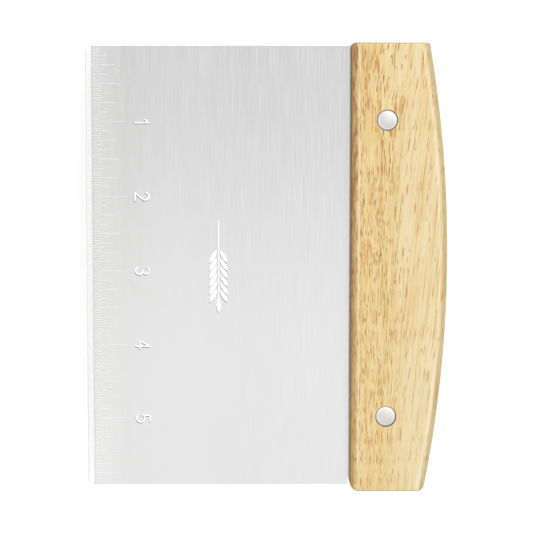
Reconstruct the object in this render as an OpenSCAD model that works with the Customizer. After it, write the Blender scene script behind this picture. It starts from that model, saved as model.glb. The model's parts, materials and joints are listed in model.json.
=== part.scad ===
// Bench scraper. A sheet steel blade with an etched inch scale is held in the saw kerf
// of a one-piece hardwood handle by two compression rivets.
//
// The scraping edge lies on z = 0 and is centred on the origin. +x runs along the edge in the
// direction in which the scale is read, +z points up to the back of the handle, and the scale
// faces -y.

/* [Blade] */
// Length of the scraping edge
blade_length = 150; // [130:1:155]
// Thickness of the sheet
blade_thickness = 1.0; // [0.8:0.1:1.4]
// Height of blade that shows below the handle
blade_exposed = 89.7; // [75:0.1:110]
// Height of blade hidden in the kerf
tang_depth = 20; // [17:0.5:21]
// Width of the ground bevel along the scraping edge
bevel_width = 2.2; // [1.2:0.1:3]
// Thickness left at the scraping edge
edge_thickness = 0.4; // [0.2:0.05:0.6]
// Radius of the two corners of the scraping edge
edge_corner_radius = 1.2; // [0.8:0.1:3]
// Burr taken off the sheet's upright edges
deburr = 0.12; // [0.05:0.01:0.2]

/* [Scale] */
// Blade left plain after the last mark, at least
scale_margin = 3; // [2:0.5:6]
// Marks to the inch
marks_per_inch = 32; // [8, 16, 32]
// Width of a mark
mark_width = 0.22; // [0.16:0.02:0.36]
// Depth of the etching
etch_depth = 0.08; // [0.05:0.01:0.15]
// Height of a numeral
numeral_height = 5.2; // [4:0.1:6]
// Width of the line that draws a numeral
numeral_stroke = 0.5; // [0.3:0.05:0.6]
// Depth of the dark scorch beside the numerals and the wheat ear
scorch_depth = 0.03; // [0.02:0.005:0.04]
// How far the scorch is shifted from them
scorch_shift = 0.22; // [0.1:0.02:0.3]

/* [Wheat ear] */
// Length of the etched wheat ear, with its stalk
ear_length = 31; // [24:1:40]
// Height of its middle line above the scraping edge
ear_height = 45; // [38:1:60]
// Pairs of grains beside the stalk
grain_pairs = 6; // [4:1:7]

/* [Handle] */
// Handle that stands out past the blade at each end
handle_overhang = 0.8; // [0.3:0.1:5]
// Height of the handle at its crown
handle_height = 32.8; // [30:0.1:38]
// Thickness of the handle
handle_thickness = 18; // [16:0.5:22]
// Radius of the curved back
crown_radius = 415; // [360:5:600]
// Distance of the crown's highest point from the middle of the handle
crown_shift = -3.2; // [-6:0.2:6]
// Round-over along the two long edges of the front and of the rear
long_round = 3.2; // [1.5:0.1:4]
// Round-over along the ends
end_round = 0.8; // [0.4:0.1:1.2]
// Radius of the two corners at the left end, seen from the front
left_corner_radius = 1.4; // [0.6:0.1:4]
// Radius of the two corners at the right end
right_corner_radius = 3.0; // [0.6:0.1:4]
// Play of the blade in the kerf, across and above it
kerf_play = 0.1; // [0.05:0.05:0.2]

/* [Rivets] */
// Distance between the two rivets
rivet_spacing = 100; // [80:1:120]
// Height of the rivets above the handle's lower face
rivet_height = 12.1; // [11:0.1:13]
// Diameter of a rivet's head
head_diameter = 6.6; // [6.2:0.1:9]
// Thickness of the head at its rim
rim_thickness = 1.2; // [0.9:0.1:2]
// Rise of the domed face above the rim
dome_rise = 0.45; // [0.2:0.05:0.6]
// Depth of the dome's top below the face of the wood
head_recess = 0.05; // [0.02:0.01:0.2]
// Outer diameter of the sleeve
sleeve_diameter = 5.0; // [4.5:0.1:5.5]
// Diameter of the pin
pin_diameter = 3.2; // [2.8:0.1:3.4]

/* [Hidden] */
$fn = 64;

inch = 25.4;
handle_length = blade_length + 2 * handle_overhang;
// The scale ends on a quarter inch
scale_inches = floor(4 * (blade_length - scale_margin) / inch) / 4;
// How far a cutting shape runs past the surface that it cuts
past = 1;
// Radial clearance of the rivets' heads, sleeves and pins in what is round them
head_gap = 0.15;
sleeve_gap = 0.1;
pin_gap = 0.02;
// Space left between the sleeve's mouth and the pin's head
mouth_gap = 0.3;

half_thickness = blade_thickness / 2;
blade_height = blade_exposed + tang_depth;
handle_bottom = blade_exposed;
handle_top = handle_bottom + handle_height;
half_handle = handle_thickness / 2;
rivet_z = handle_bottom + rivet_height;
head_radius = head_diameter / 2;
// Sphere through the rim and the top of the dome
dome_radius = (pow(head_radius, 2) + pow(dome_rise, 2)) / (2 * dome_rise);
// Distances from the middle of the blade to the parts of a rivet's head
dome_top = half_handle - head_recess;
rim_outer = dome_top - dome_rise;
rim_inner = rim_outer - rim_thickness;

// Each class of mark: one to every so many divisions of the inch, and the height it ends at
MARK_CLASSES = [
    [1, 14.3],
    [2, 11.5],
    [4, 10.3],
    [8, 7.6],
    [16, 5.6],
    [32, 5.2]
];
mark_foot = bevel_width + 0.1;
numeral_foot = 16.5;

/* Functions and shapes that repeat */

// Points on an arc, from one angle to another
function arc(centre, radius, from, to, steps) = [
    for (i = [0:steps])
        let (a = from + (to - from) * i / steps)
        centre + radius * [cos(a), sin(a)]
];

function unit(v) = v / norm(v);
function left_of(v) = [-v[1], v[0]];

// The mitre at point i of a path, for an offset of one half width
function mitre(path, i) =
    let (
        last = len(path) - 1,
        before = unit(path[max(i, 1)] - path[max(i, 1) - 1]),
        after = unit(path[min(i, last - 1) + 1] - path[min(i, last - 1)]),
        middle = unit(before + after)
    )
    left_of(middle) / (middle * before);

// Moves a path's two ends outward, so that lines that meet there close the corner
function with_caps(path, reach) =
    let (last = len(path) - 1)
    [
        for (i = [0:last])
            i == 0 ? path[0] - reach * unit(path[1] - path[0])
            : i == last ? path[last] + reach * unit(path[last] - path[last - 1])
            : path[i]
    ];

// The outline of a line of constant width along a path
function ribbon(path, width) =
    let (line = with_caps(path, width / 2), last = len(line) - 1)
    concat(
        [for (i = [0:last]) line[i] + mitre(line, i) * width / 2],
        [for (i = [last:-1:0]) line[i] - mitre(line, i) * width / 2]
    );

// The height at which the mark with this number ends: that of the coarsest class it belongs to
function mark_end(number) =
    let (
        heights = [
            for (class = MARK_CLASSES)
                if (number % (marks_per_inch / class[0]) == 0) class[1]
        ]
    )
    max(heights);

// The lines of the numerals, for a height of 1 and centred on x = 0
NUMERALS = [
    [
        [[0.1, 0], [0.1, 1]],
        [[0.1, 0.97], [-0.12, 0.76]]
    ],
    [
        concat(arc([0, 0.73], 0.27, 165, -38, 12), [[-0.26, 0]]),
        [[-0.26, 0], [0.28, 0]]
    ],
    [
        arc([0, 0.765], 0.235, 155, -90, 12),
        arc([0, 0.265], 0.265, 90, -155, 12)
    ],
    [
        [[0.12, 1], [0.12, 0]],
        [[0.12, 1], [-0.27, 0.3]],
        [[-0.27, 0.3], [0.29, 0.3]]
    ],
    [
        [[0.22, 1], [-0.19, 1]],
        [[-0.19, 1], [-0.22, 0.5]],
        arc([0, 0.31], 0.29, 140, -155, 14)
    ]
];

// Extrudes a front view, drawn in x and z, between two distances behind the middle of the blade
module front_view(from, to) {
    translate([0, to, 0])
        rotate([90, 0, 0])
            linear_extrude(to - from)
                children();
}

// Puts what is drawn along +z at the origin on a rivet's axis, pointing to the front
module to_front(x) {
    translate([x, 0, rivet_z])
        rotate([90, 0, 0])
            children();
}

// The same, pointing to the rear
module to_rear(x) {
    translate([x, 0, rivet_z])
        rotate([-90, 0, 0])
            children();
}

/* Blade */

// Section of the sheet, ground to a bevel on both faces at the scraping edge
module blade_section() {
    polygon([
        [-edge_thickness / 2, 0],
        [edge_thickness / 2, 0],
        [half_thickness, bevel_width],
        [half_thickness, blade_height],
        [-half_thickness, blade_height],
        [-half_thickness, bevel_width]
    ]);
}

// Front view of the sheet, with the corners of the scraping edge rounded
module blade_outline() {
    inset = blade_length / 2 - edge_corner_radius;
    polygon(concat(
        arc([-inset, edge_corner_radius], edge_corner_radius, 180, 270, 8),
        arc([inset, edge_corner_radius], edge_corner_radius, 270, 360, 8),
        [[blade_length / 2, blade_height + past], [-blade_length / 2, blade_height + past]]
    ));
}

// Plan of the sheet, with the burr taken off its four upright edges
module blade_plan() {
    x = blade_length / 2;
    y = half_thickness;
    polygon([
        [-x, -y + deburr], [-x + deburr, -y], [x - deburr, -y], [x, -y + deburr],
        [x, y - deburr], [x - deburr, y], [-x + deburr, y], [-x, y - deburr]
    ]);
}

module scale_marks() {
    pitch = inch / marks_per_inch;
    for (i = [1:floor(scale_inches * marks_per_inch)])
        translate([i * pitch - (blade_length + mark_width) / 2, mark_foot])
            square([mark_width, mark_end(i) - mark_foot]);
}

module numeral(value) {
    line_height = numeral_height - numeral_stroke;
    for (path = NUMERALS[value - 1])
        polygon(ribbon(path * line_height, numeral_stroke));
}

module numerals() {
    for (value = [1:floor(scale_inches)])
        translate([value * inch - blade_length / 2, numeral_foot + numeral_stroke / 2])
            numeral(value);
}

// A pointed oval that starts at the origin and lies along +x
module grain(length, width) {
    steps = 10;
    polygon(concat(
        [for (i = [0:steps]) [length * i / steps, -sin(180 * i / steps) * width / 2]],
        [for (i = [steps - 1:-1:1]) [length * i / steps, sin(180 * i / steps) * width / 2]]
    ));
}

module wheat_ear() {
    grain_length = 5.2;
    grain_width = 1.4;
    grain_lean = 30;
    grain_step = 2.7;
    stalk_width = 0.5;
    tip_start = ear_length / 2 - grain_length;
    translate([0, ear_height]) {
        polygon(ribbon([[-ear_length / 2, 0], [tip_start, 0]], stalk_width));
        translate([tip_start, 0])
            grain(grain_length, grain_width);
        for (i = [1:grain_pairs], side = [-1, 1])
            translate([tip_start - i * grain_step, side * stalk_width])
                rotate(side * grain_lean)
                    grain(grain_length, grain_width);
    }
}

module blade() {
    color([0.82, 0.83, 0.84])
        difference() {
            intersection() {
                rotate([90, 0, 90])
                    linear_extrude(blade_length + 2 * past, center = true)
                        blade_section();
                front_view(-half_thickness - past, half_thickness + past)
                    blade_outline();
                translate([0, 0, -past])
                    linear_extrude(blade_height + 2 * past)
                        blade_plan();
            }
            front_view(-half_thickness - past, etch_depth - half_thickness) {
                scale_marks();
                numerals();
                wheat_ear();
            }
            front_view(-half_thickness - past, scorch_depth - half_thickness)
                translate([scorch_shift, -scorch_shift / 2]) {
                    numerals();
                    wheat_ear();
                }
            for (side = [-1, 1])
                sleeve_hole(side * rivet_spacing / 2, blade_thickness + 2 * past);
        }
}

/* Handle */

// Half of the crown's section, from its axis outward, with both rims rounded over
module crown_section() {
    depth = handle_height + 2 * past;
    r = long_round;
    translate([crown_radius - depth, -half_handle])
        square([depth - r, handle_thickness]);
    translate([crown_radius - depth, r - half_handle])
        square([depth, handle_thickness - 2 * r]);
    for (side = [-1, 1])
        translate([crown_radius - r, side * (half_handle - r)])
            circle(r);
}

// Section across the handle, with both lower edges rounded over
module handle_section() {
    r = long_round;
    height = handle_height + past;
    translate([-half_handle, r])
        square([handle_thickness, height - r]);
    translate([r - half_handle, 0])
        square([handle_thickness - 2 * r, height]);
    for (side = [-1, 1])
        translate([side * (half_handle - r), r])
            circle(r);
}

// Plan of the handle, with its four upright edges rounded over
module handle_plan() {
    x = handle_length / 2 - end_round;
    y = half_handle - end_round;
    polygon(concat(
        arc([x, y], end_round, 0, 90, 6),
        arc([-x, y], end_round, 90, 180, 6),
        arc([-x, -y], end_round, 180, 270, 6),
        arc([x, -y], end_round, 270, 360, 6)
    ));
}

// Right side of the handle's outline, with a crown whose highest point is at x = shift
function handle_side(radius, shift) =
    let (
        x = handle_length / 2 - radius,
        // The upper corner's centre lies inside the crown by its radius, less a hair
        crown_z = handle_height - crown_radius,
        z = crown_z + sqrt(pow(crown_radius - radius + 0.01, 2) - pow(x - shift, 2)),
        // Direction in which the upper corner runs out into the crown
        lean = atan2(z - crown_z, x - shift)
    )
    concat(
        arc([x, radius], radius, 270, 360, 8),
        arc([x, z], radius, 0, lean, 8),
        [[x, handle_height + past]]
    );

// Front view of the handle. The crown is left tall, because crown_section() shapes it.
module handle_outline() {
    right = handle_side(right_corner_radius, crown_shift);
    left = handle_side(left_corner_radius, -crown_shift);
    polygon(concat(
        right,
        [for (i = [len(left) - 1:-1:0]) [-left[i][0], left[i][1]]]
    ));
}

module handle_body() {
    intersection() {
        translate([crown_shift, 0, handle_top - crown_radius])
            rotate([90, 0, 0])
                rotate_extrude($fn = 360)
                    crown_section();
        translate([0, 0, handle_bottom])
            rotate([90, 0, 90])
                linear_extrude(handle_length + 2 * past, center = true)
                    handle_section();
        translate([0, 0, handle_bottom - past])
            linear_extrude(handle_height + 2 * past)
                handle_plan();
        translate([0, 0, handle_bottom])
            front_view(-half_handle - past, half_handle + past)
                handle_outline();
    }
}

// The saw kerf that takes the blade, cut right through from end to end
module kerf() {
    width = blade_thickness + kerf_play;
    translate([-handle_length / 2 - past, -width / 2, handle_bottom - past])
        cube([handle_length + 2 * past, width, tang_depth + kerf_play + past]);
}

// Hole that takes a sleeve, through the wood or the blade
module sleeve_hole(x, length) {
    to_front(x)
        cylinder(d = sleeve_diameter + 2 * sleeve_gap, h = length, center = true);
}

// Counterbore for a head, on the +z side
module head_seat() {
    translate([0, 0, rim_inner])
        cylinder(r = head_radius + head_gap, h = half_handle);
}

module handle() {
    color([0.90, 0.78, 0.58])
        difference() {
            handle_body();
            kerf();
            for (side = [-1, 1]) {
                sleeve_hole(side * rivet_spacing / 2, handle_thickness);
                to_front(side * rivet_spacing / 2)
                    head_seat();
                to_rear(side * rivet_spacing / 2)
                    head_seat();
            }
        }
}

/* Rivets */

// A head on the +z side: a cylinder up to the rim, cut to a shallow dome
module rivet_head() {
    intersection() {
        translate([0, 0, rim_inner])
            cylinder(r = head_radius, h = rim_thickness + dome_rise + past);
        translate([0, 0, dome_top - dome_radius])
            sphere(dome_radius, $fn = 128);
    }
}

// Male half: head at the front, pin pressed into the sleeve
module rivet_pin(x) {
    tip = 0.4;
    reach = rim_inner - 1.5;
    color([0.88, 0.88, 0.87])
        to_front(x) {
            rivet_head();
            translate([0, 0, tip - reach])
                cylinder(d = pin_diameter, h = reach + rim_inner - tip + 0.5);
            translate([0, 0, -reach])
                cylinder(d1 = pin_diameter - 2 * tip, d2 = pin_diameter, h = tip);
        }
}

// Female half: head at the rear, sleeve through the wood and the blade
module rivet_sleeve(x) {
    bore_floor = rim_inner - 0.5;
    color([0.86, 0.86, 0.85])
        to_rear(x)
            difference() {
                union() {
                    rivet_head();
                    translate([0, 0, mouth_gap - rim_inner])
                        cylinder(d = sleeve_diameter, h = 2 * rim_inner - mouth_gap + 0.5);
                }
                translate([0, 0, -rim_inner - past])
                    cylinder(d = pin_diameter + 2 * pin_gap, h = rim_inner + bore_floor + past);
            }
}

module left_rivet_pin() {
    rivet_pin(-rivet_spacing / 2);
}

module left_rivet_sleeve() {
    rivet_sleeve(-rivet_spacing / 2);
}

module right_rivet_pin() {
    rivet_pin(rivet_spacing / 2);
}

module right_rivet_sleeve() {
    rivet_sleeve(rivet_spacing / 2);
}

blade();
handle();
left_rivet_pin();
left_rivet_sleeve();
right_rivet_pin();
right_rivet_sleeve();
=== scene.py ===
"""Looks of the bench scraper: brushed steel, oiled hardwood and aluminium rivets.

Everything is in metres in the row frame: +X along the scraping edge, +Z up to the handle's back,
and the scale faces -Y. The materials work in millimetres of that frame.
"""

import json
import math

import bpy
from mathutils import Matrix, Vector


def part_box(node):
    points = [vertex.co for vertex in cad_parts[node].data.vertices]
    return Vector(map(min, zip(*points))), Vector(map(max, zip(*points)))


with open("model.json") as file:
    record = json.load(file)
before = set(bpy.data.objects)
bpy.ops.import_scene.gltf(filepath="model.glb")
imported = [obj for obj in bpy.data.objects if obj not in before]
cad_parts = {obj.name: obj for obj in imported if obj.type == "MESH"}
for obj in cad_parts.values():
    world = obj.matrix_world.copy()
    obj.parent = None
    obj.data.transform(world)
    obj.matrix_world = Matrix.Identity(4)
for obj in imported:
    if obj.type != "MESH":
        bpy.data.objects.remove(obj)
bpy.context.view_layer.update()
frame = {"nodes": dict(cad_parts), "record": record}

MM = 0.001

# Sizes that the materials read from the frame, in millimetres
blade_low, blade_high = (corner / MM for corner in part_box("blade"))
handle_low, handle_high = (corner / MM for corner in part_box("handle"))
rivet_boxes = [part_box(f"{side}_rivet_pin") for side in ("left", "right")]
rivet_centres = [(low + high) / 2 / MM for low, high in rivet_boxes]
head_radius = (rivet_boxes[0][1].x - rivet_boxes[0][0].x) / 2 / MM
dome_top = -rivet_boxes[0][0].y / MM

# Sizes of the part that the frame doesn't give, in millimetres
DOME_RISE = 0.45
BEVEL_WIDTH = 2.2
HEAD_GAP = 0.15

# The steel counts as the painted shadow step beside the etching, or as etched, where it lies deeper
# below its face than this
SHADOW_STEP_FROM = 0.015
ETCHED_FROM = 0.05
# Width of the strip beside the sheet's upright sides that is painted grey as their shade
EDGE_SHADE_WIDTH = 0.11
# A height between the scale's marks and the numerals, and one between those and the wheat ear
ABOVE_MARKS = 15.0
ABOVE_NUMERALS = 25.0

dome_radius = (head_radius ** 2 + DOME_RISE ** 2) / (2 * DOME_RISE)
bevel_top = blade_low.z + BEVEL_WIDTH


# ---------------------------------------------------------------- node helpers


class Nodes:
    """Builds a node tree. An input is a number, a tuple or another node's output."""

    def __init__(self, owner):
        owner.use_nodes = True
        self.tree = owner.node_tree

    def feed(self, socket, value):
        if isinstance(value, bpy.types.NodeSocket):
            self.tree.links.new(value, socket)
        else:
            socket.default_value = value

    def math(self, operation, a, b=0.0):
        node = self.tree.nodes.new("ShaderNodeMath")
        node.operation = operation
        self.feed(node.inputs[0], a)
        self.feed(node.inputs[1], b)
        return node.outputs[0]

    def vector(self, operation, a, b=(0, 0, 0), scale=1.0):
        node = self.tree.nodes.new("ShaderNodeVectorMath")
        node.operation = operation
        self.feed(node.inputs[0], a)
        self.feed(node.inputs[1], b)
        self.feed(node.inputs[3], scale)
        return node.outputs[1 if operation == "LENGTH" else 0]

    def split(self, vector):
        node = self.tree.nodes.new("ShaderNodeSeparateXYZ")
        self.feed(node.inputs[0], vector)
        return node.outputs

    def join(self, x, y, z):
        node = self.tree.nodes.new("ShaderNodeCombineXYZ")
        for socket, value in zip(node.inputs, (x, y, z)):
            self.feed(socket, value)
        return node.outputs[0]

    def ramp(self, value, start, end, low=0.0, high=1.0):
        """Turns value smoothly from low, at start, to high, at end. Start may be above end."""
        node = self.tree.nodes.new("ShaderNodeMapRange")
        node.interpolation_type = "SMOOTHSTEP"
        for socket, number in zip(node.inputs, (value, start, end, low, high)):
            self.feed(socket, number)
        return node.outputs[0]

    def line(self, value, start, end, low=0.0, high=1.0):
        """The same, in a straight line."""
        node = self.tree.nodes.new("ShaderNodeMapRange")
        for socket, number in zip(node.inputs, (value, start, end, low, high)):
            self.feed(socket, number)
        return node.outputs[0]

    def noise(self, vector, detail=2.0, roughness=0.5):
        node = self.tree.nodes.new("ShaderNodeTexNoise")
        self.feed(node.inputs["Vector"], vector)
        node.inputs["Scale"].default_value = 1.0
        node.inputs["Detail"].default_value = detail
        node.inputs["Roughness"].default_value = roughness
        return node.outputs["Fac"]

    def cells(self, vector):
        """Distance to the nearest of some scattered points, and three random numbers of its own."""
        node = self.tree.nodes.new("ShaderNodeTexVoronoi")
        self.feed(node.inputs["Vector"], vector)
        node.inputs["Scale"].default_value = 1.0
        return node.outputs["Distance"], self.split(node.outputs["Color"])

    def blend(self, amount, a, b, mode="MIX"):
        """Colour a, with colour b over it by amount."""
        node = self.tree.nodes.new("ShaderNodeMix")
        node.data_type = "RGBA"
        node.blend_type = mode
        self.feed(node.inputs["Factor"], amount)
        self.feed(node.inputs[6], a)
        self.feed(node.inputs[7], b)
        return node.outputs[2]

    def bump(self, height, distance, strength=1.0, normal=None):
        node = self.tree.nodes.new("ShaderNodeBump")
        if normal is not None:
            self.feed(node.inputs["Normal"], normal)
        self.feed(node.inputs["Height"], height)
        self.feed(node.inputs["Strength"], strength)
        node.inputs["Distance"].default_value = distance
        return node.outputs["Normal"]

    def product(self, *factors):
        total = factors[0]
        for factor in factors[1:]:
            total = self.math("MULTIPLY", total, factor)
        return total

    def size(self, value):
        return self.math("ABSOLUTE", value)

    def above(self, value, limit):
        """1 where value is over the limit, and 0 elsewhere."""
        return self.math("GREATER_THAN", value, limit)

    def below(self, value, limit):
        return self.math("LESS_THAN", value, limit)

    def outside(self, share):
        """What a share leaves of 1."""
        return self.math("SUBTRACT", 1.0, share)


class Surface(Nodes):
    """A material's tree, with the place of the shaded point in millimetres."""

    def __init__(self, name):
        self.material = bpy.data.materials.new(name)
        super().__init__(self.material)
        self.shader = self.tree.nodes["Principled BSDF"]
        coordinates = self.tree.nodes.new("ShaderNodeTexCoord")
        self.normal = coordinates.outputs["Normal"]
        self.place = self.vector("SCALE", coordinates.outputs["Object"], scale=1 / MM)
        self.x, self.y, self.z = self.split(self.place)


def colour(red, green, blue):
    """A colour given as it looks on screen, 0 to 255, as Blender's linear one."""
    def linear(value):
        share = value / 255
        return share / 12.92 if share <= 0.04045 else ((share + 0.055) / 1.055) ** 2.4
    return (linear(red), linear(green), linear(blue), 1.0)


# ---------------------------------------------------------------- materials


def steel():
    """Satin steel brushed along X, with a ground bevel painted lighter for the light it catches, and
    frosted white etching.
    """
    n = Surface("brushed_steel")
    fine = n.noise(n.vector("MULTIPLY", n.place, (1 / 16, 2, 1 / 0.4)), 3.0, 0.6)
    broad = n.noise(n.vector("MULTIPLY", n.place, (1 / 50, 2, 1 / 3.0)), 2.0)
    streaks = n.math("ADD", n.product(fine, 0.85), n.product(broad, 0.15))
    streaks = n.line(streaks, 0.3, 0.7)
    # Painted shade and light: the face is darker towards -X and lighter towards +X, as the light falls
    # on the blade
    shaded_steel = n.blend(streaks, colour(182, 182, 182), colour(199, 199, 199))
    lit_steel = n.blend(streaks, colour(208, 208, 208), colour(213, 213, 213))
    face = n.blend(n.ramp(n.x, blade_low.x - 15, 40), shaded_steel, lit_steel)

    # Painted light, against the shade that the floor and the handle throw into the steel's reflection:
    # paler beside the bevel, in a thin line at the handle, and a little over the upper part of the
    # face
    near_edge = n.ramp(n.z, ABOVE_MARKS, 2.0, 0.0, 0.2)
    at_handle = n.ramp(n.z, handle_low.z - 1.0, handle_low.z - 0.1, 0.0, 0.6)
    upper = n.ramp(n.z, 50, 80, 0.0, 0.05)
    painted_light = n.math("MAXIMUM", n.math("MAXIMUM", near_edge, at_handle), upper)
    face = n.blend(painted_light, face, colour(252, 252, 252))

    # The bevel, painted lighter than the face for the light it catches, the thin dark line above it
    # and the darker scraping edge
    bevel = n.ramp(n.z, bevel_top + 0.05, bevel_top - 0.05)
    face = n.blend(bevel, face, colour(245, 245, 245))
    dark_line = n.product(n.ramp(n.z, bevel_top + 0.45, bevel_top + 0.1), n.outside(bevel))
    face = n.blend(n.product(dark_line, 0.35), face, colour(150, 150, 150))
    face = n.blend(n.ramp(n.z, 0.55, 0.25, 0.0, 0.8), face, colour(222, 222, 223))

    # The etching is what lies below the face, away from the bevel and the sheet's sides
    depth = n.math("SUBTRACT", n.y, blade_low.y)
    inside = n.product(n.below(n.size(n.x), blade_high.x - 0.2), n.below(depth, 0.2), n.outside(bevel))
    etched = n.product(inside, n.above(depth, ETCHED_FROM))
    # Painted shadow: the shallow step beside each etched mark is painted dark, as the shadow of the
    # etching's wall
    painted_shadow = n.math("SUBTRACT", n.product(inside, n.above(depth, SHADOW_STEP_FROM)), etched)
    face = n.blend(painted_shadow, face, colour(78, 78, 80))

    # It is faint in the marks, whiter in the numerals and white in the wheat ear
    in_numerals = n.ramp(n.z, ABOVE_MARKS, ABOVE_MARKS + 0.5, 0.45, 0.8)
    in_ear = n.ramp(n.z, ABOVE_NUMERALS, ABOVE_NUMERALS + 5, 0.0, 0.2)
    frost = n.product(etched, n.math("ADD", in_numerals, in_ear))
    face = n.blend(frost, face, colour(252, 252, 252))

    # Painted shade: a thin grey strip along the sheet's upright sides
    edge_shade = n.above(n.size(n.x), blade_high.x - EDGE_SHADE_WIDTH)
    face = n.blend(n.product(edge_shade, 0.5), face, colour(120, 122, 124))

    n.feed(n.shader.inputs["Base Color"], face)
    n.feed(n.shader.inputs["Metallic"], n.line(frost, 0, 1, 1.0, 0.1))
    rough = n.line(fine, 0.3, 0.7, 0.15, 0.19)
    n.feed(n.shader.inputs["Roughness"], n.math("ADD", rough, n.product(painted_shadow, 0.35)))
    n.shader.inputs["Anisotropic"].default_value = 0.5
    n.feed(n.shader.inputs["Tangent"], n.join(0.0, 0.0, 1.0))
    flat = n.outside(n.math("MAXIMUM", etched, painted_shadow))
    n.feed(n.shader.inputs["Normal"], n.bump(fine, 0.000002, flat))
    return n.material


# Marks in the wood: the length and width of the cell that holds one, the share of cells that
# have one near the blade and near the back, its radius in the cell, its two colours, and the
# least and most that it covers
WOOD_MARKS = [
    ((36, 0.42), (0.4, 0.95), 0.38, ((160, 122, 34), (178, 140, 54)), (0.4, 1.0)),
    ((7.0, 0.36), (0.95, 0.16), 0.42, ((192, 130, 4), (158, 98, 10)), (0.65, 1.0)),
    ((3.4, 0.38), (0.6, 0.06), 0.38, ((172, 108, 8), (128, 80, 24)), (0.6, 1.0)),
    ((8.0, 0.44), (0.4, 0.04), 0.27, ((108, 60, 16), (80, 52, 34)), (0.6, 1.0)),
]


def marks(n, grain, cell, share, radius):
    """Dashes along the grain: how much of one covers this point, and two random numbers."""
    along, across = cell
    distance, random = n.cells(n.vector("DIVIDE", grain, (along, across, across)))
    chosen = n.below(random[0], share)
    return n.product(chosen, n.ramp(distance, radius, radius * 0.65)), random[1], random[2]


def wood():
    """Pale oiled hardwood, its grain along X, with orange-brown pores near the blade."""
    n = Surface("oiled_hardwood")
    height = n.math("SUBTRACT", n.z, handle_low.z)
    # The wood is plainer in its back half, and towards its right end
    back = n.ramp(height, 8, 21)
    plain = n.ramp(n.x, 15, 65)

    # The grain leans towards the blade in the back half, and wanders a little everywhere
    lean = n.product(n.ramp(height, 5, 24), 0.1, n.x)
    drift = n.noise(n.vector("MULTIPLY", n.place, (1 / 20, 1 / 12, 1 / 12)), 2.0, 0.55)
    drift = n.product(n.math("SUBTRACT", drift, 0.5), n.line(back, 0, 1, 3.2, 1.6))
    deep = n.math("ADD", n.y, n.product(drift, 0.4))
    grain = n.join(n.x, deep, n.math("ADD", n.math("ADD", n.z, lean), drift))

    fibre = n.noise(n.vector("MULTIPLY", grain, (1 / 20, 1 / 0.5, 1 / 0.5)), 3.0, 0.65)
    band = n.noise(n.vector("MULTIPLY", grain, (1 / 34, 1 / 3.6, 1 / 3.6)), 2.0)
    base = n.blend(back, colour(199, 175, 116), colour(202, 185, 144))
    gold = n.product(n.line(band, 0.35, 0.65), n.line(back, 0, 1, 0.8, 0.5))
    gold = n.product(gold, n.line(plain, 0, 1, 1.1, 0.45))
    base = n.blend(gold, base, colour(194, 163, 92))
    base = n.blend(n.ramp(fibre, 0.42, 0.62, 0.0, 0.5), base, colour(212, 198, 164))

    crowd = n.noise(n.vector("MULTIPLY", grain, (1 / 16, 1 / 2.2, 1 / 2.2)), 2.0)
    crowd = n.product(n.ramp(crowd, 0.38, 0.6, 0.35, 1.25), n.line(plain, 0, 1, 1.1, 0.65))
    relief = n.product(fibre, 0.4)
    for cell, (near_share, back_share), radius, (tone, other_tone), (least, most) in WOOD_MARKS:
        share = n.product(n.line(back, 0, 1, near_share, back_share), crowd)
        cover, one, two = marks(n, grain, cell, share, radius)
        mark = n.blend(one, colour(*tone), colour(*other_tone))
        base = n.blend(n.product(cover, n.line(two, 0, 1, least, most)), base, mark)
        relief = n.math("SUBTRACT", relief, n.product(cover, 0.5))

    # Round-overs: darker, for handled wood and painted shade, and a pale line of painted highlight
    # where they start
    away = n.size(n.split(n.normal)[1])
    side_grain = n.ramp(n.size(n.split(n.normal)[0]), 0.9, 0.5)
    near_blade = n.product(n.ramp(height, 6, 4), side_grain)
    worn_and_shaded = n.blend(near_blade, colour(216, 211, 196), colour(222, 204, 166))
    base = n.blend(n.product(n.ramp(away, 0.99, 0.8), 0.85), base, worn_and_shaded, "MULTIPLY")
    base = n.blend(n.product(n.ramp(away, 0.75, 0.3), near_blade), base, worn_and_shaded, "MULTIPLY")
    arris_highlight = n.product(n.ramp(away, 0.9999, 0.998), n.ramp(away, 0.94, 0.985))
    base = n.blend(n.product(arris_highlight, n.ramp(fibre, 0.4, 0.6, 0.2, 0.7)), base, colour(214, 202, 178))

    # Brown figure along the round-over beside the blade, which fades towards the right end
    figure = n.noise(n.vector("MULTIPLY", grain, (1 / 6, 1 / 0.9, 1 / 0.9)), 3.0, 0.6)
    figure = n.product(n.ramp(height, 2.8, 1.9), n.ramp(figure, 0.48, 0.6))
    figure = n.product(figure, n.ramp(n.x, -50, 40, 0.85, 0.2))
    base = n.blend(figure, base, colour(146, 86, 48))

    # Painted shade: darker wood round the rivets, in the gap at their heads, and in the kerf and where
    # it opens beside the blade
    for centre in rivet_centres:
        across = n.math("SUBTRACT", n.x, centre.x)
        above = n.math("SUBTRACT", n.z, centre.z)
        reach = n.vector("LENGTH", n.join(across, 0.0, above))
        rivet_gap_shade = n.ramp(reach, head_radius + 2 * HEAD_GAP, head_radius + HEAD_GAP)
        base = n.blend(rivet_gap_shade, base, colour(96, 80, 54))
    kerf_shade = n.product(n.ramp(height, 0.4, 0.1), n.ramp(n.size(n.y), 5.5, 3.0, 0.65, 0.95))
    base = n.blend(kerf_shade, base, colour(76, 62, 42))

    n.feed(n.shader.inputs["Base Color"], base)
    n.feed(n.shader.inputs["Roughness"], n.line(fibre, 0.3, 0.7, 0.5, 0.62))
    n.shader.inputs["Coat Weight"].default_value = 0.15
    n.shader.inputs["Coat Roughness"].default_value = 0.3
    n.feed(n.shader.inputs["Normal"], n.bump(relief, 0.00003))
    return n.material


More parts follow.
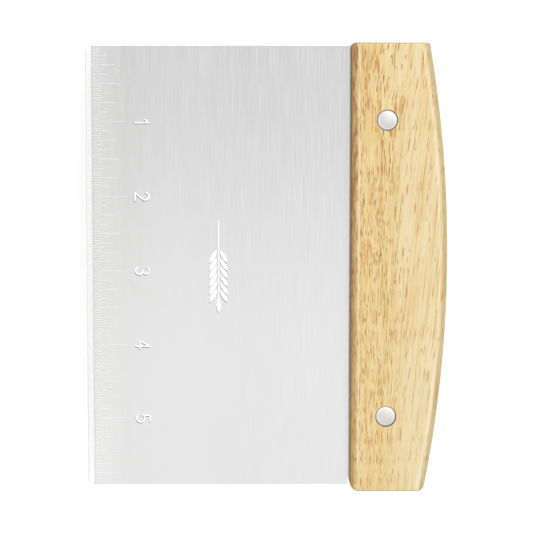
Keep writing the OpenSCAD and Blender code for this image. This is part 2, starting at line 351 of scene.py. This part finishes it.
def aluminium():
    """Satin aluminium with the faint rings and scratches of a set rivet."""
    n = Surface("satin_aluminium")
    across = n.math("SUBTRACT", n.x, n.product(n.math("SIGN", n.x), rivet_centres[1].x))
    above = n.math("SUBTRACT", n.z, rivet_centres[1].z)
    reach = n.vector("LENGTH", n.join(across, 0.0, above))
    rings = n.noise(n.join(n.product(reach, 6.0), 7.3, 0.0), 2.0)
    specks = n.noise(n.vector("MULTIPLY", n.place, (3.5, 3.5, 3.5)), 3.0, 0.6)
    tone = n.math("ADD", n.product(rings, 0.4), n.product(specks, 0.6))
    face = n.blend(n.line(tone, 0.35, 0.65), colour(195, 194, 191), colour(209, 208, 205))
    # Painted highlight: a lighter ring just inside the edge of each head
    rim_highlight = n.ramp(reach, head_radius - 0.75, head_radius - 0.45)
    face = n.blend(n.product(rim_highlight, 0.8), face, colour(228, 228, 230))
    # Painted shade: the left rivet, which the key light lifts more, is made a little darker than the
    # right one
    face = n.blend(n.below(n.x, 0.0), face, colour(249, 249, 249), "MULTIPLY")
    n.feed(n.shader.inputs["Base Color"], face)
    n.shader.inputs["Metallic"].default_value = 1.0
    n.feed(n.shader.inputs["Roughness"], n.line(specks, 0.3, 0.7, 0.42, 0.5))

    # The heads' faces are parts of a sphere, and are shaded by the sphere's own normal
    sphere_middle = n.product(n.math("SIGN", n.y), dome_top - dome_radius)
    outward = n.vector("NORMALIZE", n.join(across, n.math("SUBTRACT", n.y, sphere_middle), above))
    on_dome = n.above(n.size(n.y), dome_top - DOME_RISE)
    normal = n.blend(on_dome, n.normal, outward)
    n.feed(n.shader.inputs["Normal"], n.bump(tone, 0.00001, 1.0, normal))
    return n.material


def paper():
    """Matt white."""
    n = Surface("white_floor")
    n.shader.inputs["Base Color"].default_value = (0.92, 0.92, 0.92, 1.0)
    n.shader.inputs["Roughness"].default_value = 0.9
    return n.material


# ---------------------------------------------------------------- looks of the nodes

LOOKS = {"blade_steel": steel(), "handle_wood": wood(), "rivet_metal": aluminium()}
for subpart in frame["record"]["subparts"]:
    node = frame["nodes"][subpart["node"]]
    node.data.materials.clear()
    node.data.materials.append(LOOKS[subpart["material_slot"]])


# ---------------------------------------------------------------- stage, light and camera


def floor():
    """A floor at the height of the scraping edge, wide enough to have no end in view."""
    mesh = bpy.data.meshes.new("floor")
    half = 60.0
    corners = [(-half, -half, 0), (half, -half, 0), (half, half, 0), (-half, half, 0)]
    mesh.from_pydata(corners, [], [(0, 1, 2, 3)])
    mesh.materials.append(paper())
    plane = bpy.data.objects.new("floor", mesh)
    bpy.context.scene.collection.objects.link(plane)


def softbox(name, place, target, size, power):
    """A rectangular lamp at a place in metres, turned to a target and unseen by the camera."""
    light = bpy.data.lights.new(name, "AREA")
    light.shape = "RECTANGLE"
    light.size, light.size_y = size
    light.energy = power
    lamp = bpy.data.objects.new(name, light)
    lamp.location = place
    lamp.rotation_euler = (Vector(target) - Vector(place)).to_track_quat("-Z", "Y").to_euler()
    lamp.visible_camera = False
    bpy.context.scene.collection.objects.link(lamp)


def surroundings():
    """White all round, and greyer at the front on the right, which gives the rivets their shade."""
    world = bpy.data.worlds.new("white_room")
    n = Nodes(world)
    direction = n.split(n.tree.nodes.new("ShaderNodeTexCoord").outputs["Generated"])
    shade = n.product(n.ramp(direction[0], 0.3, 0.7), n.ramp(direction[1], 0.0, -0.3))
    background = n.tree.nodes["Background"]
    background.inputs["Color"].default_value = (1.0, 1.0, 1.0, 1.0)
    full, shaded = 1.22, 0.8
    n.feed(background.inputs["Strength"], n.line(shade, 0, 1, full, shaded))
    bpy.context.scene.world = world


def camera():
    """Looks at the front from 0.6 m, tilted along the scraping edge, with the handle to the right."""
    distance = 0.6
    tilt = math.radians(5)
    target = Vector((0, 0, 0.0614))
    back = Vector((-math.sin(tilt), -math.cos(tilt), 0))
    right = Vector((0, 0, 1))
    up = back.cross(right)
    data = bpy.data.cameras.new("camera")
    data.sensor_width = 36
    data.lens = 118.76
    data.shift_y = 0.0012
    lens = bpy.data.objects.new("camera", data)
    lens.matrix_world = Matrix.Translation(target + distance * back) @ Matrix(
        (right, up, back)
    ).transposed().to_4x4()
    bpy.context.scene.collection.objects.link(lens)
    bpy.context.scene.camera = lens


floor()
surroundings()
softbox("key", place=(-1.3, -1.4, 1.0), target=(0, 0, 0.06), size=(2.6, 1.8), power=20)
camera()
bpy.context.scene.view_settings.view_transform = "Standard"
